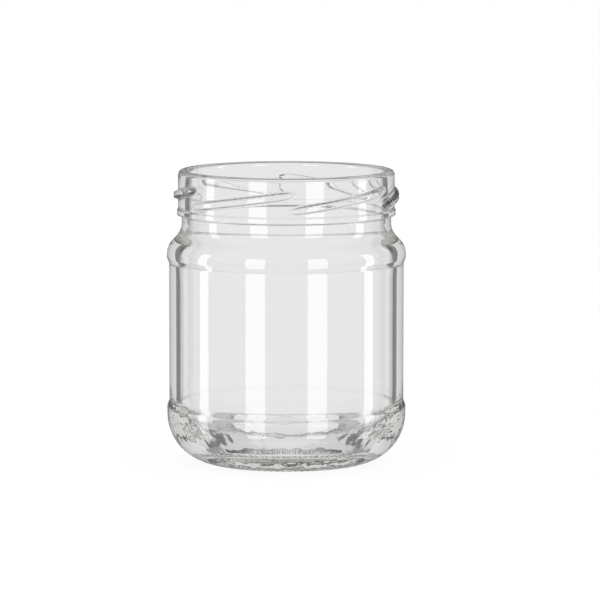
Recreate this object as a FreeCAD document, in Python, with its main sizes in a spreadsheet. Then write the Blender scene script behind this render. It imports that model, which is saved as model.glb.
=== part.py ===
# A small preserving jar of clear glass with a twist-off finish: an empty, one-piece vessel.
# Millimetres, +Z up. The origin is on the jar's axis, in the plane of its bearing ring.
# The front is towards -Y. Azimuths are counted from the front, positive towards +X.
import FreeCAD, Part
import Sketcher
import os

os.makedirs("parts", exist_ok=True)
doc = FreeCAD.newDocument("TwistOffJar")


# ---- driving dimensions ----

SIZES = [
    # Whole jar.
    ("Height", 83.4),
    ("PanelRadius", 33.3),
    ("RimStand", 0.6),          # how far shoulder and heel stand out beyond the panel
    ("WallThickness", 2.95),
    ("StepRun", 1.6),           # height of each step between panel and rim
    # Base and heel.
    ("HeelRounding", 14.0),
    ("HeelLand", 2.3),          # upright part of the heel above its rounding
    ("BearingWidth", 1.5),
    ("PushUp", 2.2),
    ("PushUpEdge", 1.5),        # height of the hollow's outer corner
    ("PushUpSlope", 2.4),       # radial run of the hollow's side
    ("FloorHeight", 6.5),
    ("FloorRise", 0.7),
    ("FloorRounding", 3.0),
    ("InnerHeelRun", 6.8),      # radial run of the slope between floor and wall
    ("InnerHeelRise", 7.0),
    ("InnerHeelRounding", 9.0),
    # Neck and shoulder, counted down from the collar.
    ("NeckInset", 1.0),         # how far the neck stands back from the finish
    ("NeckHeight", 4.6),
    ("FlareSlope", 45.7),       # degrees, from the neck out to the shoulder
    ("FlareRounding", 6.0),
    ("ShoulderHeight", 3.2),
    ("ShoulderRounding", 5.5),
    ("InnerNeckFall", 2.0),     # from the collar's foot down to the inner shoulder's top
    ("InnerShoulderRise", 0.3), # from the shoulder's foot up to the inner shoulder's foot
    ("InnerShoulderRounding", 16.0),
    # Finish: the mouth, its collar and its lugs, counted down from the top.
    ("FinishRadius", 30.7),
    ("FinishWall", 3.1),
    ("LipRounding", 1.25),
    ("CollarReach", 0.3),       # how far the collar stands out beyond the finish
    ("CollarDrop", 11.2),
    ("CollarHeight", 1.5),
    ("CollarSlope", 0.35),
    ("LugCount", 6),
    ("LugReach", 1.25),
    ("LugHeight", 2.5),
    ("LugSpan", 34.6),          # straight length from tip to tip
    ("LugTilt", 7.8),           # degrees, rising towards +X at the front
    ("LugDrop", 6.9),           # from the top down to the middle of a lug
    ("LugTaper", 8.0),          # length of each narrowing end
    ("LugEdge", 0.4),
    ("LugTurn", -27.1),         # azimuth of the middle of the first lug, degrees
    # Knurls: radial grooves across the bearing ring.
    ("KnurlCount", 80),
    ("KnurlRadius", 0.6),
    ("KnurlDepth", 0.5),
    ("KnurlInset", 0.5),        # how far they start inside the bearing ring
]

sheet = doc.addObject("Spreadsheet::Sheet", "Sizes")
for row, (alias, size) in enumerate(SIZES, start=1):
    sheet.set(f"A{row}", alias)
    sheet.set(f"B{row}", str(size))
    sheet.setAlias(f"B{row}", alias)
doc.recompute()


# ---- sketch and feature helpers ----

def origin_feature(body, role):
    """The body's own origin plane or axis with this role."""
    for feature in body.Origin.OriginFeatures:
        if feature.Role == role:
            return feature
    raise ValueError("no origin feature " + role)


def evaluate(expression):
    """The present number of an expression over the sheet's sizes."""
    value = sheet.evalExpression(expression)
    return float(getattr(value, "Value", value))


def new_sketch(body, name, plane):
    sketch = body.newObject("Sketcher::SketchObject", name)
    sketch.AttachmentSupport = [(origin_feature(body, plane), "")]
    sketch.MapMode = "FlatFace"
    return sketch


def bind(sketch, constraint, expression):
    """Add a dimension to the sketch and drive it by the expression."""
    index = sketch.addConstraint(constraint)
    sketch.setExpression(f"Constraints[{index}]", expression)
    return index


def closed_outline(sketch, corners):
    """Draw a closed outline through corners (x, y, rounding), each given as expressions.

    Every corner is placed from the sketch's origin. A rounding of None leaves it sharp."""
    points = []
    for across, up, _ in corners:
        points.append(FreeCAD.Vector(evaluate(across), evaluate(up), 0))
    count = len(points)
    for i in range(count):
        sketch.addGeometry(Part.LineSegment(points[i], points[(i + 1) % count]), False)
    for i in range(count):
        sketch.addConstraint(Sketcher.Constraint("Coincident", i, 2, (i + 1) % count, 1))
    for i, (across, up, _) in enumerate(corners):
        place_point(sketch, i, points[i].x, across, "DistanceX")
        place_point(sketch, i, points[i].y, up, "DistanceY")
    for i, (_, _, rounding) in enumerate(corners):
        if rounding is None:
            continue
        drawn = sketch.GeometryCount
        sketch.fillet(i, 1, evaluate(rounding), True, True)
        arc = find_new_arc(sketch, drawn)
        bind(sketch, Sketcher.Constraint("Radius", arc, evaluate(rounding)), rounding)


def place_point(sketch, line, value, expression, kind):
    """Fix one coordinate of the line's first point, counted from the origin."""
    if expression == "0":
        axis = -2 if kind == "DistanceX" else -1
        sketch.addConstraint(Sketcher.Constraint("PointOnObject", line, 1, axis))
        return
    bind(sketch, Sketcher.Constraint(kind, -1, 1, line, 1, value), expression)


def find_new_arc(sketch, start):
    for index in range(start, sketch.GeometryCount):
        if isinstance(sketch.Geometry[index], Part.ArcOfCircle):
            return index
    raise ValueError("no arc was added to " + sketch.Name)


def turned(body, kind, name, sketch):
    """Turn a sketch once round the body's upright axis, as a Revolution or a Groove."""
    feature = body.newObject("PartDesign::" + kind, name)
    feature.Profile = sketch
    feature.ReferenceAxis = (origin_feature(body, "Z_Axis"), [""])
    feature.Angle = 360
    sketch.Visibility = False
    return feature


def repeat_round(body, name, feature, count):
    """Repeat a feature evenly round the body's upright axis."""
    pattern = body.newObject("PartDesign::PolarPattern", name)
    pattern.Originals = [feature]
    pattern.Axis = (origin_feature(body, "Z_Axis"), [""])
    pattern.Angle = 360
    pattern.setExpression("Occurrences", count)
    body.Tip = pattern
    return pattern


def rounded(body, name, edges, radius):
    """Round the named edges of the body's present tip."""
    base = body.Tip
    fillet = body.newObject("PartDesign::Fillet", name)
    fillet.Base = (base, edges)
    fillet.setExpression("Radius", radius)
    body.Tip = fillet
    return fillet


def edges_where(shape, test):
    """Names of the edges whose end and middle points all pass the test."""
    names = []
    for number, edge in enumerate(shape.Edges, start=1):
        middle = edge.valueAt((edge.FirstParameter + edge.LastParameter) / 2)
        points = [vertex.Point for vertex in edge.Vertexes] + [middle]
        if all(test(point) for point in points):
            names.append(f"Edge{number}")
    return names


def axis_distance(point):
    return (point.x ** 2 + point.y ** 2) ** 0.5


# ---- the jar ----

CLOSE = 0.001        # two lengths nearer than this are the same
CLEAR = "5"          # how far a cutting outline runs past the glass

SHOULDER_RADIUS = "Sizes.PanelRadius + Sizes.RimStand"
BEARING_RADIUS = f"{SHOULDER_RADIUS} - Sizes.HeelRounding - Sizes.BearingWidth"
HEEL_TOP = "Sizes.HeelRounding + Sizes.HeelLand"
INNER_RADIUS = "Sizes.PanelRadius - Sizes.WallThickness"
MOUTH_RADIUS = "Sizes.FinishRadius - Sizes.FinishWall"
NECK_RADIUS = "Sizes.FinishRadius - Sizes.NeckInset"
COLLAR_RADIUS = "Sizes.FinishRadius + Sizes.CollarReach"
CREST_RADIUS = "Sizes.FinishRadius + Sizes.LugReach"
COLLAR_TOP = "Sizes.Height - Sizes.CollarDrop"
COLLAR_FOOT = f"{COLLAR_TOP} - Sizes.CollarHeight"
FLARE_TOP = f"{COLLAR_FOOT} - Sizes.NeckHeight"
FLARE_HEIGHT = f"({SHOULDER_RADIUS} - ({NECK_RADIUS})) * tan(Sizes.FlareSlope * 1 deg)"
SHOULDER_TOP = f"{FLARE_TOP} - {FLARE_HEIGHT}"
SHOULDER_FOOT = f"{SHOULDER_TOP} - Sizes.ShoulderHeight"


def add_blank(body):
    """The jar's outside as a full solid: base, heel, panel, shoulder, neck and finish."""
    corners = [
        ("0", "Sizes.PushUp", None),
        (f"{BEARING_RADIUS} - Sizes.PushUpSlope", "Sizes.PushUpEdge", "Sizes.PushUpEdge"),
        (BEARING_RADIUS, "0", None),
        (SHOULDER_RADIUS, "0", "Sizes.HeelRounding"),
        (SHOULDER_RADIUS, HEEL_TOP, "Sizes.StepRun"),
        ("Sizes.PanelRadius", f"{HEEL_TOP} + Sizes.StepRun", "Sizes.StepRun"),
        ("Sizes.PanelRadius", f"{SHOULDER_FOOT} - Sizes.StepRun", "Sizes.StepRun"),
        (SHOULDER_RADIUS, SHOULDER_FOOT, "Sizes.StepRun"),
        (SHOULDER_RADIUS, SHOULDER_TOP, "Sizes.ShoulderRounding"),
        (NECK_RADIUS, FLARE_TOP, "Sizes.FlareRounding"),
        (NECK_RADIUS, f"{COLLAR_FOOT} - Sizes.CollarSlope", "Sizes.CollarSlope"),
        (COLLAR_RADIUS, COLLAR_FOOT, "Sizes.CollarSlope"),
        (COLLAR_RADIUS, COLLAR_TOP, "Sizes.CollarSlope"),
        ("Sizes.FinishRadius", f"{COLLAR_TOP} + Sizes.CollarSlope", "Sizes.CollarSlope"),
        ("Sizes.FinishRadius", "Sizes.Height", None),
        ("0", "Sizes.Height", None),
    ]
    sketch = new_sketch(body, "BlankOutline", "XZ_Plane")
    closed_outline(sketch, corners)
    blank = turned(body, "Revolution", "Blank", sketch)
    body.Tip = blank
    doc.recompute()


def lug_corner(along, above, rounding):
    """A corner of the lug's outline, given along and square to its tilted middle line."""
    across = f"({along}) * cos(Sizes.LugTilt * 1 deg) - ({above}) * sin(Sizes.LugTilt * 1 deg)"
    up = f"({along}) * sin(Sizes.LugTilt * 1 deg) + ({above}) * cos(Sizes.LugTilt * 1 deg)"
    return across, f"Sizes.Height - Sizes.LugDrop + {up}", rounding


def add_lugs(body):
    """Slanting lugs with narrowing ends: bars pushed out, then turned down to the crest."""
    end = "Sizes.LugSpan / 2"
    side = "Sizes.LugSpan / 2 - Sizes.LugTaper"
    half = "Sizes.LugHeight / 2"
    blunt = "Sizes.LugHeight / 4"
    taper = "Sizes.LugTaper * 2"
    corners = [
        lug_corner(end, blunt, blunt),
        lug_corner(side, half, taper),
        lug_corner(f"-({side})", half, taper),
        lug_corner(f"-({end})", blunt, blunt),
        lug_corner(f"-({end})", f"-{blunt}", blunt),
        lug_corner(f"-({side})", f"-{half}", taper),
        lug_corner(side, f"-{half}", taper),
        lug_corner(end, f"-{blunt}", blunt),
    ]
    sketch = new_sketch(body, "LugOutline", "XZ_Plane")
    upright = FreeCAD.Vector(0, 1, 0)
    turn = FreeCAD.Rotation(upright, evaluate("Sizes.LugTurn"))
    sketch.AttachmentOffset = FreeCAD.Placement(FreeCAD.Vector(0, 0, 0), turn)
    sketch.setExpression("AttachmentOffset.Rotation.Angle", "Sizes.LugTurn * 1 deg")
    closed_outline(sketch, corners)
    bar = body.newObject("PartDesign::Pad", "LugBar")
    bar.Profile = sketch
    bar.setExpression("Length", f"{CREST_RADIUS} + {CLEAR}")
    sketch.Visibility = False
    body.Tip = bar
    doc.recompute()
    repeat_round(body, "LugBars", bar, "Sizes.LugCount")
    doc.recompute()

    corners = [
        (CREST_RADIUS, f"{COLLAR_TOP} - Sizes.CollarHeight", None),
        (f"{CREST_RADIUS} + 2 * {CLEAR}", f"{COLLAR_TOP} - Sizes.CollarHeight", None),
        (f"{CREST_RADIUS} + 2 * {CLEAR}", f"Sizes.Height + {CLEAR}", None),
        (CREST_RADIUS, f"Sizes.Height + {CLEAR}", None),
    ]
    sketch = new_sketch(body, "CrestOutline", "XZ_Plane")
    closed_outline(sketch, corners)
    body.Tip = turned(body, "Groove", "LugCrests", sketch)
    doc.recompute()

    crest = evaluate(CREST_RADIUS)
    edges = edges_where(body.Tip.Shape, lambda point: abs(axis_distance(point) - crest) < CLOSE)
    rounded(body, "LugEdges", edges, "Sizes.LugEdge")
    doc.recompute()


def add_cavity(body):
    """The inside: a slightly raised floor, sloping heel, straight wall, shoulder and mouth."""
    corners = [
        ("0", "Sizes.FloorHeight + Sizes.FloorRise", None),
        (f"{INNER_RADIUS} - Sizes.InnerHeelRun", "Sizes.FloorHeight", "Sizes.FloorRounding"),
        (INNER_RADIUS, "Sizes.FloorHeight + Sizes.InnerHeelRise", "Sizes.InnerHeelRounding"),
        (INNER_RADIUS, f"{SHOULDER_FOOT} + Sizes.InnerShoulderRise", "Sizes.InnerShoulderRounding"),
        (MOUTH_RADIUS, f"{COLLAR_FOOT} - Sizes.InnerNeckFall", "Sizes.InnerShoulderRounding"),
        (MOUTH_RADIUS, f"Sizes.Height + {CLEAR}", None),
        ("0", f"Sizes.Height + {CLEAR}", None),
    ]
    sketch = new_sketch(body, "CavityOutline", "XZ_Plane")
    closed_outline(sketch, corners)
    body.Tip = turned(body, "Groove", "Cavity", sketch)
    doc.recompute()


def add_lip(body):
    """Round both edges of the mouth."""
    top = evaluate("Sizes.Height")
    edges = edges_where(body.Tip.Shape, lambda point: abs(point.z - top) < CLOSE)
    rounded(body, "Lip", edges, "Sizes.LipRounding")
    doc.recompute()


def add_knurls(body):
    """Shallow radial grooves that leave narrow lands on the bearing ring."""
    sketch = new_sketch(body, "KnurlOutline", "YZ_Plane")
    sketch.setExpression("AttachmentOffset.Base.z", f"{BEARING_RADIUS} - Sizes.KnurlInset")
    radius = evaluate("Sizes.KnurlRadius")
    below = evaluate("Sizes.KnurlRadius - Sizes.KnurlDepth")
    centre = FreeCAD.Vector(0, -below, 0)
    upright = FreeCAD.Vector(0, 0, 1)
    sketch.addGeometry(Part.Circle(centre, upright, radius), False)
    sketch.addConstraint(Sketcher.Constraint("PointOnObject", 0, 3, -2))
    bind(sketch, Sketcher.Constraint("Radius", 0, radius), "Sizes.KnurlRadius")
    bind(sketch, Sketcher.Constraint("DistanceY", 0, 3, -1, 1, below),
         "Sizes.KnurlRadius - Sizes.KnurlDepth")
    knurl = body.newObject("PartDesign::Pocket", "Knurl")
    knurl.Profile = sketch
    knurl.Reversed = True
    knurl.setExpression("Length", "Sizes.HeelRounding")
    sketch.Visibility = False
    body.Tip = knurl
    doc.recompute()
    repeat_round(body, "Knurls", knurl, "Sizes.KnurlCount")
    doc.recompute()


def check_document():
    """Stop if any object failed."""
    for item in doc.Objects:
        if "Invalid" in item.State or "Error" in item.State:
            raise RuntimeError(f"{item.Name} failed: {item.State}")


jar = doc.addObject("PartDesign::Body", "Jar")
jar.Label = "jar"
add_blank(jar)
add_lugs(jar)
add_cavity(jar)
add_lip(jar)
add_knurls(jar)
check_document()

shape = jar.Shape
if shape.isNull() or not shape.isValid() or len(shape.Solids) != 1:
    raise RuntimeError("the jar is not one sound solid")
shape.exportStep(f"parts/{jar.Label}.step")
print(f"{jar.Label}: {shape.Volume / 1000:.2f} cm3 of glass, box {shape.BoundBox}")
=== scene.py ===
"""An empty preserving jar of clear glass with a twist-off finish, on a white studio floor.

The jar is one pressed-and-blown piece of soda-lime glass. Its wall is a smooth mesh turned
from one section. Geometry Nodes then raise the lugs, press the knurls and make the inside of
the floor and heel a little uneven. The front is -Y, and the azimuths of lugs and lamps are
counted from there towards +X. The jar's lengths are written in millimetres and turned to
metres by MM, and the studio's are in metres."""
import math

import bpy
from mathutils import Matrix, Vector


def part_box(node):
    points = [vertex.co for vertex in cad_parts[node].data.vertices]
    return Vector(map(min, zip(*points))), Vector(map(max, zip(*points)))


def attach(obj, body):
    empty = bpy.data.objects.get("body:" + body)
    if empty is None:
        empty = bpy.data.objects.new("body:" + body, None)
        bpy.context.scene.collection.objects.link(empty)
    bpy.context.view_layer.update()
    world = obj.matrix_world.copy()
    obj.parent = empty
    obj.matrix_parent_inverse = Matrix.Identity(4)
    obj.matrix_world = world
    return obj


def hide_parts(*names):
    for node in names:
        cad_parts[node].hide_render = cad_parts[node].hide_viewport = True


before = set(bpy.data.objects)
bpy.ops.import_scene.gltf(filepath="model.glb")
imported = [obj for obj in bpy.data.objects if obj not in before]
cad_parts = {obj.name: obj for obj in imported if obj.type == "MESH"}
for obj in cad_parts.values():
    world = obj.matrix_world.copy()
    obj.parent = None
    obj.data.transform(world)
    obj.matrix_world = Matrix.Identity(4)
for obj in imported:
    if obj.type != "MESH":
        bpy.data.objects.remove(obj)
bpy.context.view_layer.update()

MM = 0.001

# ---- sizes of the glass, in millimetres ----

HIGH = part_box("jar")[1]         # the highest corner of the jar's box
HEIGHT = HIGH.z / MM
SHOULDER_RADIUS = HIGH.x / MM
RIM_STAND = 0.6                 # how far shoulder and heel stand out beyond the panel
WALL = 2.95
STEP_RUN = 1.6                  # height of each step between panel and rim
PANEL_RADIUS = SHOULDER_RADIUS - RIM_STAND
INNER_RADIUS = PANEL_RADIUS - WALL

# Base and heel.
HEEL_ROUNDING = 14.0
HEEL_LAND = 2.3                 # upright part of the heel above its rounding
BEARING_WIDTH = 1.5
BEARING_ROUNDING = 0.25
PUSH_UP = 2.2
PUSH_UP_EDGE = 1.5
PUSH_UP_SLOPE = 2.4
FLOOR_HEIGHT = 6.5
FLOOR_RISE = 0.7
FLOOR_ROUNDING = 3.0
INNER_HEEL_RUN = 6.8
INNER_HEEL_RISE = 7.0
INNER_HEEL_ROUNDING = 9.0
HEEL_TOP = HEEL_ROUNDING + HEEL_LAND
BEARING_RADIUS = SHOULDER_RADIUS - HEEL_ROUNDING - BEARING_WIDTH

# Finish: the mouth and its collar, counted down from the top.
FINISH_RADIUS = 30.7
FINISH_WALL = 3.1
LIP_ROUNDING = 1.25
COLLAR_REACH = 0.3
COLLAR_DROP = 11.2
COLLAR_HEIGHT = 1.5
COLLAR_SLOPE = 0.35
MOUTH_RADIUS = FINISH_RADIUS - FINISH_WALL
COLLAR_RADIUS = FINISH_RADIUS + COLLAR_REACH
COLLAR_TOP = HEIGHT - COLLAR_DROP
COLLAR_FOOT = COLLAR_TOP - COLLAR_HEIGHT

# Neck and shoulder, counted down from the collar.
NECK_INSET = 1.0
NECK_HEIGHT = 4.6
FLARE_SLOPE = 45.7              # degrees, from the neck out to the shoulder
FLARE_ROUNDING = 6.0
SHOULDER_HEIGHT = 3.2
SHOULDER_ROUNDING = 5.5
INNER_NECK_FALL = 2.0
INNER_SHOULDER_RISE = 0.3
INNER_SHOULDER_ROUNDING = 16.0
NECK_RADIUS = FINISH_RADIUS - NECK_INSET
FLARE_TOP = COLLAR_FOOT - NECK_HEIGHT
FLARE_HEIGHT = (SHOULDER_RADIUS - NECK_RADIUS) * math.tan(math.radians(FLARE_SLOPE))
SHOULDER_TOP = FLARE_TOP - FLARE_HEIGHT
SHOULDER_FOOT = SHOULDER_TOP - SHOULDER_HEIGHT
INNER_NECK = COLLAR_FOOT - INNER_NECK_FALL
INNER_SHOULDER = SHOULDER_FOOT + INNER_SHOULDER_RISE

# Lugs.
LUG_COUNT = 6
LUG_REACH = 1.25
LUG_HEIGHT = 2.5
LUG_CHORD = 34.6                # straight length from tip to tip
LUG_TILT = 7.8                  # degrees, rising towards +X at the front
LUG_DROP = 6.9                  # from the top down to the middle of a lug
LUG_TAPER = 8.0                 # length of each narrowing end
LUG_TURN = -27.1                # azimuth of the middle of the first lug, degrees
LUG_FLANK = 0.55                # width of the sloping side of a lug
LUG_TIP = 4.0                   # the higher this power, the fuller the narrowing ends
LUG_FOOTING = 0.5               # points up to this far inside the finish's face still move
CREST_RADIUS = FINISH_RADIUS + LUG_REACH
LUG_SPAN = 2 * CREST_RADIUS * math.asin(LUG_CHORD / 2 / CREST_RADIUS)
LUG_MIDDLE = HEIGHT - LUG_DROP
LUG_RISE = CREST_RADIUS * math.tan(math.radians(LUG_TILT))
LUG_WALL = FINISH_RADIUS - LUG_FOOTING

# Knurls: radial grooves across the bearing ring.
KNURL_COUNT = 80
KNURL_RADIUS = 0.6
KNURL_DEPTH = 0.5

# Settled glass: an uneven inside on the floor and the heel.
WAVE_LENGTH = 2.0
WAVE_DEPTH = 0.15               # the most that highs and lows lie apart
WAVE_FADE = (12.0, 24.0)        # heights over which the unevenness dies away
WAVE_MARGIN = 0.3               # room round the inner surface in which its points are found
WAVE_FLOOR_MARGIN = 0.5
WAVE_RADIUS = INNER_RADIUS + WAVE_MARGIN
WAVE_FLOOR = FLOOR_HEIGHT - WAVE_FLOOR_MARGIN

# ---- mesh density ----

COARSE = 180                    # points round a plain ring
WAVY = 360                      # points round a ring of settled glass
FINE = 720                      # points round a ring that carries lugs or knurls
LUG_ZONE_FOOT = 0.6             # above the collar
LUG_ZONE_HEAD = 2.6             # below the top
LUG_ZONE = (COLLAR_TOP + LUG_ZONE_FOOT, HEIGHT - LUG_ZONE_HEAD)
KNURL_ZONE_INWARDS = 0.8        # past the bearing ring's inner edge
KNURL_ZONE_OUTWARDS = 4.6       # past the foot of the heel's rounding
KNURL_ZONE = (BEARING_RADIUS - KNURL_ZONE_INWARDS,
              SHOULDER_RADIUS - HEEL_ROUNDING + KNURL_ZONE_OUTWARDS)
KNURL_ZONE_TOP = 1.2
WAVE_MIDDLE = 3.0               # settled glass nearer to the axis than this has plain rings
LUG_STEP = 0.13                 # the steps are along the section
KNURL_STEP = 0.25
WAVE_STEP = 0.7
PLAIN_STEP = 4.0
STEP_SLACK = 0.999              # a step this near to whole counts as whole
SAME_POINT = 0.02               # section points nearer than this are one
ON_AXIS = 1e-6
ARC_STEP = 7.0                  # degrees between points on a rounding
ARC_PIECES = 3                  # fewest pieces of a rounding


# ---- the section: corners with roundings, turned into points ----

def rounded_section(corners):
    """Points along a section through corners (radius, height, rounding)."""
    points = []
    for i, (x, y, rounding) in enumerate(corners):
        if rounding == 0 or i in (0, len(corners) - 1):
            points.append((x, y))
            continue
        points.extend(corner_arc(corners[i - 1][:2], (x, y), corners[i + 1][:2], rounding))
    return points


def corner_arc(before, corner, after, rounding):
    """Points on the arc that rounds a corner between two straight runs."""
    back = unit(before[0] - corner[0], before[1] - corner[1])
    ahead = unit(after[0] - corner[0], after[1] - corner[1])
    half = math.acos(max(-1.0, min(1.0, back[0] * ahead[0] + back[1] * ahead[1]))) / 2
    middle = unit(back[0] + ahead[0], back[1] + ahead[1])
    reach = rounding / math.sin(half)
    centre = (corner[0] + middle[0] * reach, corner[1] + middle[1] * reach)
    run = rounding / math.tan(half)
    start_x = corner[0] + back[0] * run - centre[0]
    start_y = corner[1] + back[1] * run - centre[1]
    end_x = corner[0] + ahead[0] * run - centre[0]
    end_y = corner[1] + ahead[1] * run - centre[1]
    start = math.atan2(start_y, start_x)
    end = math.atan2(end_y, end_x)
    sweep = (end - start + math.pi) % (2 * math.pi) - math.pi
    count = max(ARC_PIECES, math.ceil(abs(math.degrees(sweep)) / ARC_STEP))
    points = []
    for k in range(count + 1):
        angle = start + sweep * k / count
        x = centre[0] + rounding * math.cos(angle)
        y = centre[1] + rounding * math.sin(angle)
        points.append((x, y))
    return points


def unit(x, y):
    """The direction of a step, with length one."""
    length = math.hypot(x, y)
    return x / length, y / length


OUTSIDE = [
    (0, PUSH_UP, 0),
    (BEARING_RADIUS - PUSH_UP_SLOPE, PUSH_UP_EDGE, PUSH_UP_EDGE),
    (BEARING_RADIUS, 0, BEARING_ROUNDING),
    (SHOULDER_RADIUS, 0, HEEL_ROUNDING),
    (SHOULDER_RADIUS, HEEL_TOP, STEP_RUN),
    (PANEL_RADIUS, HEEL_TOP + STEP_RUN, STEP_RUN),
    (PANEL_RADIUS, SHOULDER_FOOT - STEP_RUN, STEP_RUN),
    (SHOULDER_RADIUS, SHOULDER_FOOT, STEP_RUN),
    (SHOULDER_RADIUS, SHOULDER_TOP, SHOULDER_ROUNDING),
    (NECK_RADIUS, FLARE_TOP, FLARE_ROUNDING),
    (NECK_RADIUS, COLLAR_FOOT - COLLAR_SLOPE, COLLAR_SLOPE),
    (COLLAR_RADIUS, COLLAR_FOOT, COLLAR_SLOPE),
    (COLLAR_RADIUS, COLLAR_TOP, COLLAR_SLOPE),
    (FINISH_RADIUS, COLLAR_TOP + COLLAR_SLOPE, COLLAR_SLOPE),
    (FINISH_RADIUS, HEIGHT, LIP_ROUNDING),
]
INSIDE = [
    (MOUTH_RADIUS, HEIGHT, LIP_ROUNDING),
    (MOUTH_RADIUS, INNER_NECK, INNER_SHOULDER_ROUNDING),
    (INNER_RADIUS, INNER_SHOULDER, INNER_SHOULDER_ROUNDING),
    (INNER_RADIUS, FLOOR_HEIGHT + INNER_HEEL_RISE, INNER_HEEL_ROUNDING),
    (INNER_RADIUS - INNER_HEEL_RUN, FLOOR_HEIGHT, FLOOR_ROUNDING),
    (0, FLOOR_HEIGHT + FLOOR_RISE, 0),
]


def in_lug_zone(point):
    """Whether a section point is where lugs rise."""
    return point[0] > LUG_WALL and LUG_ZONE[0] < point[1] < LUG_ZONE[1]


def in_wave_zone(point):
    """Whether a section point is on settled glass."""
    return point[0] < WAVE_RADIUS and WAVE_FLOOR < point[1] < WAVE_FADE[1]


def in_knurl_zone(point):
    """Whether a section point is where knurls are pressed."""
    return KNURL_ZONE[0] < point[0] < KNURL_ZONE[1] and point[1] < KNURL_ZONE_TOP


def step_at(point):
    """How far apart the section's points are here."""
    if in_lug_zone(point):
        return LUG_STEP
    if in_knurl_zone(point):
        return KNURL_STEP
    if in_wave_zone(point):
        return WAVE_STEP
    return PLAIN_STEP


def points_round(point):
    """How many points the ring through this section point has."""
    if in_lug_zone(point) or in_knurl_zone(point):
        return FINE
    if in_wave_zone(point) and point[0] > WAVE_MIDDLE:
        return WAVY
    return COARSE


def divided(points):
    """The section with its long runs divided, finely where lugs and knurls will rise."""
    dense = []
    for a, b in zip(points, points[1:]):
        pieces = max(1, math.ceil(math.dist(a, b) / LUG_STEP))
        for k in range(pieces):
            t = k / pieces
            dense.append((a[0] + (b[0] - a[0]) * t, a[1] + (b[1] - a[1]) * t, k == 0))
    dense.append((*points[-1], True))
    kept = [dense[0][:2]]
    for x, y, is_corner in dense[1:]:
        gap = math.dist(kept[-1], (x, y))
        if gap < SAME_POINT:
            continue
        if is_corner or gap >= step_at((x, y)) * STEP_SLACK:
            kept.append((x, y))
    return kept


def turned_mesh(name, section):
    """Turn the section round the upright axis. Rings are fine only where they need to be."""
    vertices = []
    rings = []
    for x, y in section:
        if x < ON_AXIS:
            rings.append([len(vertices)])
            vertices.append((0, 0, y * MM))
            continue
        count = points_round((x, y))
        rings.append(list(range(len(vertices), len(vertices) + count)))
        for k in range(count):
            angle = 2 * math.pi * k / count
            vertices.append((x * math.cos(angle) * MM, x * math.sin(angle) * MM, y * MM))
    faces = []
    for below, above in zip(rings, rings[1:]):
        faces.extend(ring_faces(below, above))
    mesh = bpy.data.meshes.new(name)
    mesh.from_pydata(vertices, [], faces)
    mesh.shade_smooth()
    mesh.validate()
    return mesh


def ring_faces(below, above):
    """Faces between two rings whose counts are in a whole ratio, or between a ring and a pole."""
    shares = min(len(below), len(above))
    if shares == 1:
        shares = max(len(below), len(above))
    faces = []
    for k in range(shares):
        low = ring_span(below, k, shares)
        high = ring_span(above, k, shares)
        faces.append(tuple(low + high[::-1]))
    return faces


def ring_span(ring, k, shares):
    """The points of one share of a ring. A pole gives its one point."""
    if len(ring) == 1:
        return list(ring)
    width = len(ring) // shares
    return [ring[(k * width + i) % len(ring)] for i in range(width + 1)]


# ---- node helper ----

def add_node(tree, kind, links=None, **settings):
    """Add a node, set its properties, and fill its inputs with values, sockets or whole nodes."""
    node = tree.nodes.new(kind)
    for key, value in settings.items():
        setattr(node, key, value)
    for socket, value in (links or {}).items():
        if isinstance(value, bpy.types.Node):
            value = value.outputs[0]
        if isinstance(value, bpy.types.NodeSocket):
            tree.links.new(value, node.inputs[socket])
        else:
            node.inputs[socket].default_value = value
    return node


# ---- lugs, knurls and settled glass by Geometry Nodes ----

def new_geometry_tree(name, inputs):
    """A tree that takes a mesh, the named sizes and a material."""
    tree = bpy.data.node_groups.new(name, "GeometryNodeTree")
    tree.interface.new_socket("Geometry", in_out="INPUT", socket_type="NodeSocketGeometry")
    for label, value in inputs.items():
        socket = tree.interface.new_socket(label, in_out="INPUT", socket_type="NodeSocketFloat")
        socket.default_value = value
    tree.interface.new_socket("Material", in_out="INPUT", socket_type="NodeSocketMaterial")
    tree.interface.new_socket("Geometry", in_out="OUTPUT", socket_type="NodeSocketGeometry")
    return tree, add_node(tree, "NodeGroupInput").outputs


def finish_tree(tree, geometry, material):
    """End a tree with real geometry in the material."""
    real = add_node(tree, "GeometryNodeRealizeInstances", {"Geometry": geometry})
    painted = add_node(tree, "GeometryNodeSetMaterial", {"Geometry": real, "Material": material})
    add_node(tree, "NodeGroupOutput", {0: painted})


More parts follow.
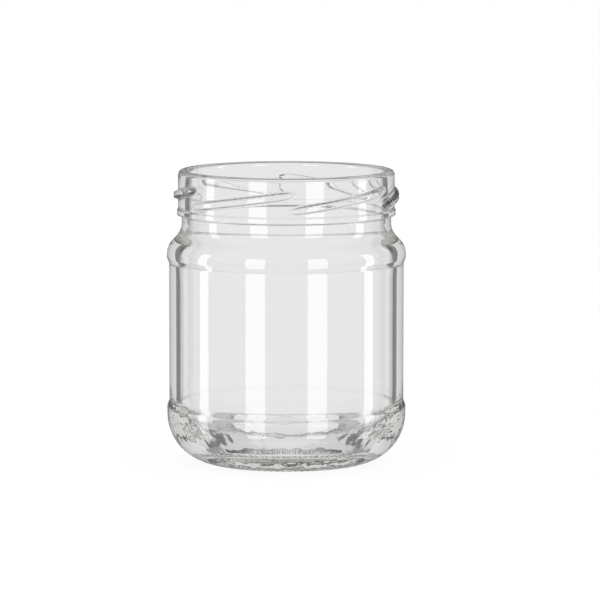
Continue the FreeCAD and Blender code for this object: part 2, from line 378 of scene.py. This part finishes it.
def lug_tree():
    """Raise slanting lugs round the finish by moving the outer wall outwards.

    Each lug lies on a slanting line, and the lines are one pitch apart. A point's own line
    crosses the lugs' middle height at some azimuth, and wrapping that azimuth finds its lug."""
    tree, entry = new_geometry_tree("lugs", {
        "Count": LUG_COUNT, "Turn": math.radians(LUG_TURN), "Middle": LUG_MIDDLE * MM,
        "Radius": CREST_RADIUS * MM, "Rise per Radian": LUG_RISE * MM, "Span": LUG_SPAN * MM,
        "Height": LUG_HEIGHT * MM, "Taper": LUG_TAPER * MM, "Reach": LUG_REACH * MM,
        "Flank": LUG_FLANK * MM, "Wall Radius": LUG_WALL * MM,
        "Foot": LUG_ZONE[0] * MM, "Head": LUG_ZONE[1] * MM})
    position = add_node(tree, "GeometryNodeInputPosition")
    place = add_node(tree, "ShaderNodeSeparateXYZ", {0: position}).outputs
    front = add_node(tree, "ShaderNodeMath", {0: place["Y"], 1: -1.0}, operation="MULTIPLY")
    azimuth = add_node(tree, "ShaderNodeMath", {0: place["X"], 1: front}, operation="ARCTAN2")
    from_first = add_node(tree, "ShaderNodeMath", {0: azimuth, 1: entry["Turn"]}, operation="SUBTRACT")
    up = add_node(tree, "ShaderNodeMath", {0: place["Z"], 1: entry["Middle"]}, operation="SUBTRACT")
    lead = add_node(tree, "ShaderNodeMath", {0: up, 1: entry["Rise per Radian"]}, operation="DIVIDE")
    crossing = add_node(tree, "ShaderNodeMath", {0: from_first, 1: lead}, operation="SUBTRACT")
    half_pitch = add_node(tree, "ShaderNodeMath", {0: math.pi, 1: entry["Count"]}, operation="DIVIDE")
    lowest = add_node(tree, "ShaderNodeMath", {0: half_pitch, 1: -1.0}, operation="MULTIPLY")
    off_line = add_node(tree, "ShaderNodeMath", {
        0: crossing, 1: half_pitch, 2: lowest}, operation="WRAP")
    drop = add_node(tree, "ShaderNodeMath", {
        0: off_line, 1: entry["Rise per Radian"]}, operation="MULTIPLY")
    beside = add_node(tree, "ShaderNodeMath", {0: drop}, operation="ABSOLUTE")
    around = add_node(tree, "ShaderNodeMath", {0: off_line, 1: lead}, operation="ADD")
    along = add_node(tree, "ShaderNodeMath", {0: around, 1: entry["Radius"]}, operation="MULTIPLY")
    from_middle = add_node(tree, "ShaderNodeMath", {0: along}, operation="ABSOLUTE")
    end = add_node(tree, "ShaderNodeMath", {0: entry["Span"], 1: 0.5}, operation="MULTIPLY")
    taper_start = add_node(tree, "ShaderNodeMath", {0: end, 1: entry["Taper"]}, operation="SUBTRACT")
    faded = add_node(tree, "ShaderNodeMapRange", {
        "Value": from_middle, "From Min": taper_start, "From Max": end})
    narrowing = add_node(tree, "ShaderNodeMath", {0: faded, 1: LUG_TIP}, operation="POWER")
    fullness = add_node(tree, "ShaderNodeMath", {0: 1.0, 1: narrowing}, operation="SUBTRACT")
    half = add_node(tree, "ShaderNodeMath", {0: entry["Height"], 1: 0.5}, operation="MULTIPLY")
    half_here = add_node(tree, "ShaderNodeMath", {0: half, 1: fullness}, operation="MULTIPLY")
    inside = add_node(tree, "ShaderNodeMath", {0: half_here, 1: beside}, operation="SUBTRACT")
    reach = add_node(tree, "ShaderNodeMath", {0: entry["Reach"], 1: fullness}, operation="MULTIPLY")
    rise = add_node(tree, "ShaderNodeMapRange", {
        "Value": inside, "From Max": entry["Flank"], "To Max": reach}, interpolation_type="SMOOTHSTEP")
    flat = add_node(tree, "ShaderNodeCombineXYZ", {"X": place["X"], "Y": place["Y"]})
    radius = add_node(tree, "ShaderNodeVectorMath", {0: flat}, operation="LENGTH").outputs["Value"]
    outer = add_node(tree, "ShaderNodeMath", {
        0: radius, 1: entry["Wall Radius"]}, operation="GREATER_THAN")
    above = add_node(tree, "ShaderNodeMath", {
        0: place["Z"], 1: entry["Foot"]}, operation="GREATER_THAN")
    below = add_node(tree, "ShaderNodeMath", {
        0: place["Z"], 1: entry["Head"]}, operation="LESS_THAN")
    between = add_node(tree, "ShaderNodeMath", {0: above, 1: below}, operation="MULTIPLY")
    allowed = add_node(tree, "ShaderNodeMath", {0: outer, 1: between}, operation="MULTIPLY")
    reached = add_node(tree, "ShaderNodeMath", {0: rise, 1: allowed}, operation="MULTIPLY")
    outwards = add_node(tree, "ShaderNodeVectorMath", {0: flat}, operation="NORMALIZE")
    offset = add_node(tree, "ShaderNodeVectorMath", {0: outwards, "Scale": reached}, operation="SCALE")
    moved = add_node(tree, "GeometryNodeSetPosition", {"Geometry": entry["Geometry"], "Offset": offset})
    finish_tree(tree, moved, entry["Material"])
    return tree


def knurl_tree():
    """Press radial grooves into the underside of the bearing ring."""
    tree, entry = new_geometry_tree("knurls", {
        "Count": KNURL_COUNT, "Groove Radius": KNURL_RADIUS * MM, "Depth": KNURL_DEPTH * MM,
        "Inner Radius": KNURL_ZONE[0] * MM, "Outer Radius": KNURL_ZONE[1] * MM})
    position = add_node(tree, "GeometryNodeInputPosition")
    place = add_node(tree, "ShaderNodeSeparateXYZ", {0: position}).outputs
    flat = add_node(tree, "ShaderNodeCombineXYZ", {"X": place["X"], "Y": place["Y"]})
    radius = add_node(tree, "ShaderNodeVectorMath", {0: flat}, operation="LENGTH").outputs["Value"]
    half_pitch = add_node(tree, "ShaderNodeMath", {0: math.pi, 1: entry["Count"]}, operation="DIVIDE")
    lowest = add_node(tree, "ShaderNodeMath", {0: half_pitch, 1: -1.0}, operation="MULTIPLY")
    azimuth = add_node(tree, "ShaderNodeMath", {0: place["Y"], 1: place["X"]}, operation="ARCTAN2")
    angle = add_node(tree, "ShaderNodeMath", {0: azimuth, 1: half_pitch, 2: lowest}, operation="WRAP")
    across = add_node(tree, "ShaderNodeMath", {0: radius, 1: angle}, operation="MULTIPLY")
    across_squared = add_node(tree, "ShaderNodeMath", {0: across, 1: across}, operation="MULTIPLY")
    groove_squared = add_node(tree, "ShaderNodeMath", {
        0: entry["Groove Radius"], 1: entry["Groove Radius"]}, operation="MULTIPLY")
    under = add_node(tree, "ShaderNodeMath", {
        0: groove_squared, 1: across_squared}, operation="SUBTRACT")
    under_roof = add_node(tree, "ShaderNodeMath", {0: under, 1: 0.0}, operation="MAXIMUM")
    crown = add_node(tree, "ShaderNodeMath", {0: under_roof}, operation="SQRT")
    centre = add_node(tree, "ShaderNodeMath", {
        0: entry["Depth"], 1: entry["Groove Radius"]}, operation="SUBTRACT")
    roof = add_node(tree, "ShaderNodeMath", {0: crown, 1: centre}, operation="ADD")
    clear = add_node(tree, "ShaderNodeMath", {0: roof, 1: place["Z"]}, operation="SUBTRACT")
    lift = add_node(tree, "ShaderNodeMath", {0: clear, 1: 0.0}, operation="MAXIMUM")
    past = add_node(tree, "ShaderNodeMath", {
        0: radius, 1: entry["Inner Radius"]}, operation="GREATER_THAN")
    before = add_node(tree, "ShaderNodeMath", {
        0: radius, 1: entry["Outer Radius"]}, operation="LESS_THAN")
    between = add_node(tree, "ShaderNodeMath", {0: past, 1: before}, operation="MULTIPLY")
    lifted = add_node(tree, "ShaderNodeMath", {0: lift, 1: between}, operation="MULTIPLY")
    offset = add_node(tree, "ShaderNodeCombineXYZ", {"Z": lifted})
    moved = add_node(tree, "GeometryNodeSetPosition", {"Geometry": entry["Geometry"], "Offset": offset})
    finish_tree(tree, moved, entry["Material"])
    return tree


def wave_tree():
    """Make the inside of the floor and heel uneven, as blown glass settles there."""
    tree, entry = new_geometry_tree("settle_waves", {
        "Wavelength": WAVE_LENGTH * MM, "Depth": WAVE_DEPTH * MM, "Inner Radius": WAVE_RADIUS * MM,
        "Floor": WAVE_FLOOR * MM, "Fade Start": WAVE_FADE[0] * MM, "Fade End": WAVE_FADE[1] * MM})
    position = add_node(tree, "GeometryNodeInputPosition")
    place = add_node(tree, "ShaderNodeSeparateXYZ", {0: position}).outputs
    flat = add_node(tree, "ShaderNodeCombineXYZ", {"X": place["X"], "Y": place["Y"]})
    radius = add_node(tree, "ShaderNodeVectorMath", {0: flat}, operation="LENGTH").outputs["Value"]
    scale = add_node(tree, "ShaderNodeMath", {0: 1.0, 1: entry["Wavelength"]}, operation="DIVIDE")
    noise = add_node(tree, "ShaderNodeTexNoise", {"Vector": position, "Scale": scale, "Detail": 1.0})
    centred = add_node(tree, "ShaderNodeMath", {0: noise, 1: 0.5}, operation="SUBTRACT")
    height = add_node(tree, "ShaderNodeMath", {0: centred, 1: entry["Depth"]}, operation="MULTIPLY")
    within = add_node(tree, "ShaderNodeMath", {
        0: radius, 1: entry["Inner Radius"]}, operation="LESS_THAN")
    above = add_node(tree, "ShaderNodeMath", {
        0: place["Z"], 1: entry["Floor"]}, operation="GREATER_THAN")
    inner = add_node(tree, "ShaderNodeMath", {0: within, 1: above}, operation="MULTIPLY")
    low = add_node(tree, "ShaderNodeMapRange", {
        "Value": place["Z"], "From Min": entry["Fade Start"], "From Max": entry["Fade End"],
        "To Min": 1.0, "To Max": 0.0}, interpolation_type="SMOOTHSTEP")
    share = add_node(tree, "ShaderNodeMath", {0: inner, 1: low}, operation="MULTIPLY")
    amount = add_node(tree, "ShaderNodeMath", {0: height, 1: share}, operation="MULTIPLY")
    normal = add_node(tree, "GeometryNodeInputNormal")
    offset = add_node(tree, "ShaderNodeVectorMath", {0: normal, "Scale": amount}, operation="SCALE")
    moved = add_node(tree, "GeometryNodeSetPosition", {"Geometry": entry["Geometry"], "Offset": offset})
    finish_tree(tree, moved, entry["Material"])
    return tree


def run_tree(piece, tree, material):
    """Run a Geometry Nodes tree on the piece and keep the result as its plain mesh."""
    modifier = piece.modifiers.new(tree.name, "NODES")
    modifier.node_group = tree
    for item in tree.interface.items_tree:
        if item.name == "Material":
            modifier[item.identifier] = material
    bpy.context.view_layer.update()
    evaluated = piece.evaluated_get(bpy.context.evaluated_depsgraph_get())
    mesh = bpy.data.meshes.new_from_object(evaluated)
    piece.modifiers.remove(modifier)
    piece.data = mesh


# ---- glass ----

GLASS_IOR = 1.52
GLASS_TINT = "e6e9e2"
GLASS_TINT_DENSITY = 9.0        # per metre of glass
WHITE = "ffffff"


def linear(colour):
    """An sRGB hex colour as linear red, green, blue and full alpha."""
    channels = [int(colour[i:i + 2], 16) / 255 for i in (0, 2, 4)]
    return [c / 12.92 if c <= 0.04045 else ((c + 0.055) / 1.055) ** 2.4 for c in channels] + [1.0]


def soda_lime_glass():
    """Soda-lime container glass, pressed and blown: clear and glossy, with a faint grey-green
    body colour that shows where the glass is thick, as in the heel."""
    material = bpy.data.materials.new("soda_lime_glass")
    material.use_nodes = True
    tree = material.node_tree
    shader = tree.nodes["Principled BSDF"]
    shader.inputs["Base Color"].default_value = linear(WHITE)
    shader.inputs["Roughness"].default_value = 0.0
    shader.inputs["IOR"].default_value = GLASS_IOR
    shader.inputs["Transmission Weight"].default_value = 1.0
    absorb = add_node(tree, "ShaderNodeVolumeAbsorption", {
        "Color": linear(GLASS_TINT), "Density": GLASS_TINT_DENSITY}).outputs[0]
    tree.links.new(absorb, tree.nodes["Material Output"].inputs["Volume"])
    return material


def build_jar():
    """The whole jar as one closed wall of glass."""
    glass = soda_lime_glass()
    section = divided(rounded_section(OUTSIDE + INSIDE))
    jar = bpy.data.objects.new("jar_glass", turned_mesh("jar_glass", section))
    bpy.context.scene.collection.objects.link(jar)
    run_tree(jar, lug_tree(), glass)
    run_tree(jar, knurl_tree(), glass)
    run_tree(jar, wave_tree(), glass)
    jar.data.name = "jar_glass"
    jar.data.materials.clear()
    jar.data.materials.append(glass)
    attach(jar, "root")
    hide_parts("jar")


# ---- studio ----

FLOOR_SIZE = 6.0
FLOOR_PAINT = "fafafa"
FLOOR_GLOW = 0.93               # share of plain white in the floor as the camera sees it
LIGHT_BOUNCES = 32              # enough to let light out of the thick heel


def build_floor():
    """A smooth white sweep. Seen directly it is as white as the backdrop, with a faint shadow.

    Rays that glass has bent or mirrored pass it and meet the studio's own table instead."""
    half = FLOOR_SIZE / 2
    corners = [(-half, -half, 0), (half, -half, 0), (half, half, 0), (-half, half, 0)]
    mesh = bpy.data.meshes.new("floor")
    mesh.from_pydata(corners, [], [(0, 1, 2, 3)])
    floor = bpy.data.objects.new("floor", mesh)
    bpy.context.scene.collection.objects.link(floor)
    material = bpy.data.materials.new("white_sweep")
    material.use_nodes = True
    tree = material.node_tree
    tree.nodes.remove(tree.nodes["Principled BSDF"])
    matt = add_node(tree, "ShaderNodeBsdfDiffuse", {"Color": linear(FLOOR_PAINT)})
    glow = add_node(tree, "ShaderNodeEmission", {"Color": linear(WHITE), "Strength": 1.0})
    path = add_node(tree, "ShaderNodeLightPath").outputs
    share = add_node(tree, "ShaderNodeMath", {
        0: path["Is Camera Ray"], 1: FLOOR_GLOW}, operation="MULTIPLY")
    sweep = add_node(tree, "ShaderNodeMixShader", {0: share, 1: matt, 2: glow})
    bent = add_node(tree, "ShaderNodeMath", {
        0: path["Is Transmission Ray"], 1: path["Is Glossy Ray"]}, operation="MAXIMUM")
    clear = add_node(tree, "ShaderNodeBsdfTransparent")
    whole = add_node(tree, "ShaderNodeMixShader", {0: bent, 1: sweep, 2: clear}).outputs[0]
    tree.links.new(whole, tree.nodes["Material Output"].inputs["Surface"])
    mesh.materials.append(material)


# How bright the studio is as seen through the glass. Each part of it has the azimuth where it
# starts, counted both ways from the middle of the backdrop, and its levels against height.
# Azimuths and heights are in degrees, and -90 is straight down.
STUDIO = [
    # The table, with a dark band across it, and the backdrop.
    (0, [(-90, 0.75), (-66, 0.75), (-60, 0.65), (-51, 0.65), (-47, 0.15), (-38, 0.15),
         (-34, 0.6), (-28, 0.75), (-24, 0.8), (20, 0.8), (24, 0.45), (40, 0.4), (44, 0.12),
         (90, 0.05)]),
    # The dark flags at the backdrop's edges.
    (32, [(-90, 0.7), (-66, 0.65), (-48, 0.6), (-44, 0.3), (-26, 0.3), (-22, 0.15), (90, 0.1)]),
    # The pale walls at the sides, over a dark band on the table.
    (50, [(-90, 0.5), (-66, 0.3), (-60, 0.12), (-47, 0.12), (-43, 0.8), (-27, 0.8), (18, 0.8),
          (38, 0.6), (42, 0.2), (90, 0.1)]),
    # The room in front.
    (96, [(-90, 0.9), (24, 0.9), (50, 0.5), (90, 0.3)]),
]
# How bright it is as the glass mirrors it, against the azimuth from the backdrop's middle.
MIRRORED = [(0, 0.2), (50, 0.2), (52, 0.5), (95, 0.5), (97, 0.8), (180, 0.8)]
SECTOR_EDGE = 1.0               # half the width over which one part fades into the next


def build_world():
    """A white studio, whose level depends on where a ray goes and on how it got there.

    The camera sees plain white, and plain white lights the floor. Rays that leave through the
    glass meet the pale and dark parts of STUDIO, so that the jar's edges draw dark. Rays that
    the glass mirrors meet the levels of MIRRORED, so that its faces stay faintly grey."""
    world = bpy.data.worlds.new("studio")
    bpy.context.scene.world = world
    world.use_nodes = True
    tree = world.node_tree
    direction = add_node(tree, "ShaderNodeTexCoord").outputs["Generated"]
    part = add_node(tree, "ShaderNodeSeparateXYZ", {0: direction}).outputs
    off_axis = add_node(tree, "ShaderNodeMath", {0: part["X"], 1: part["Y"]}, operation="ARCTAN2")
    around = add_node(tree, "ShaderNodeMath", {0: off_axis}, operation="ABSOLUTE")
    up = add_node(tree, "ShaderNodeMath", {0: part["Z"]}, operation="ARCSINE")
    through = studio_level(tree, up, STUDIO[0][1])
    for start, levels in STUDIO[1:]:
        fade = [(start - SECTOR_EDGE, 0.0), (start + SECTOR_EDGE, 1.0)]
        share = studio_level(tree, around, fade)
        level = studio_level(tree, up, levels)
        through = add_node(tree, "ShaderNodeMix", {0: share, 2: through, 3: level})
    mirrored = studio_level(tree, around, MIRRORED)
    path = add_node(tree, "ShaderNodeLightPath").outputs
    # A ray bent by glass counts as glossy as well, so transmission is asked after glossy.
    lit_or_mirrored = add_node(tree, "ShaderNodeMix", {
        0: path["Is Glossy Ray"], 2: 1.0, 3: mirrored})
    studio = add_node(tree, "ShaderNodeMix", {
        0: path["Is Transmission Ray"], 2: lit_or_mirrored, 3: through})
    seen = add_node(tree, "ShaderNodeMix", {0: path["Is Camera Ray"], 2: studio, 3: 1.0})
    back = tree.nodes["Background"]
    tree.links.new(seen.outputs[0], back.inputs["Strength"])
    back.inputs["Color"].default_value = linear(WHITE)


def studio_level(tree, angle, stops):
    """The studio's level against an angle. The angle comes in radians, the stops are in degrees."""
    first = stops[0][0]
    last = stops[-1][0]
    place = add_node(tree, "ShaderNodeMapRange", {
        "Value": angle, "From Min": math.radians(first), "From Max": math.radians(last)})
    node = add_node(tree, "ShaderNodeValToRGB", {"Fac": place})
    ramp = node.color_ramp
    for degrees, _ in stops[1:-1]:
        ramp.elements.new((degrees - first) / (last - first))
    for element, (_, level) in zip(ramp.elements, stops):
        element.color = (level, level, level, 1)
    return node


SOFTBOX_DISTANCE = 1.0
SOFTBOX_HEIGHT = 1.2
# Each pair of lamps: name, azimuth to either side in degrees, width, and power in watts.
SOFTBOXES = [
    ("front_softbox_", 30, 0.34, 5.0),
    ("side_strip_", 87, 0.2, 3.0),
]


def build_softbox(name, azimuth, width, power):
    """An upright lamp that faces the jar.

    The glass mirrors it, but it is not seen through the glass."""
    lamp = bpy.data.lights.new(name, "AREA")
    lamp.shape = "RECTANGLE"
    lamp.size = width
    lamp.size_y = SOFTBOX_HEIGHT
    lamp.energy = power
    lamp_object = bpy.data.objects.new(name, lamp)
    angle = math.radians(azimuth)
    x = SOFTBOX_DISTANCE * math.sin(angle)
    y = -SOFTBOX_DISTANCE * math.cos(angle)
    lamp_object.location = (x, y, 0)
    lamp_object.rotation_euler = (math.pi / 2, 0, angle)
    lamp_object.visible_transmission = False
    bpy.context.scene.collection.objects.link(lamp_object)


CAMERA_DISTANCE = 1.3
CAMERA_ELEVATION = 6.7          # degrees
CAMERA_AIM_HEIGHT = 0.041
CAMERA_SHIFT_X = 0.0227
CAMERA_SHIFT_Y = 0.0303
VIEW_WIDTH = 0.17065            # width of the view at the jar
SENSOR_WIDTH = 36.0             # millimetres, as is the lens


def build_camera():
    """A long lens a little above the jar, as for a plain product picture."""
    elevation = math.radians(CAMERA_ELEVATION)
    data = bpy.data.cameras.new("camera")
    data.sensor_width = SENSOR_WIDTH
    data.lens = data.sensor_width * CAMERA_DISTANCE / VIEW_WIDTH
    data.shift_x = CAMERA_SHIFT_X
    data.shift_y = CAMERA_SHIFT_Y
    camera = bpy.data.objects.new("camera", data)
    away = CAMERA_DISTANCE * math.cos(elevation)
    up = CAMERA_DISTANCE * math.sin(elevation)
    camera.location = (0, -away, CAMERA_AIM_HEIGHT + up)
    camera.rotation_euler = (math.pi / 2 - elevation, 0, 0)
    bpy.context.scene.collection.objects.link(camera)
    bpy.context.scene.camera = camera


build_jar()
build_floor()
build_world()
for side, side_name in ((-1, "left"), (1, "right")):
    for lamp_name, azimuth, width, power in SOFTBOXES:
        build_softbox(lamp_name + side_name, side * azimuth, width, power)
build_camera()
bpy.context.scene.view_settings.view_transform = "Standard"
bpy.context.scene.cycles.max_bounces = LIGHT_BOUNCES
bpy.context.scene.cycles.transmission_bounces = LIGHT_BOUNCES
bpy.context.scene.cycles.glossy_bounces = LIGHT_BOUNCES
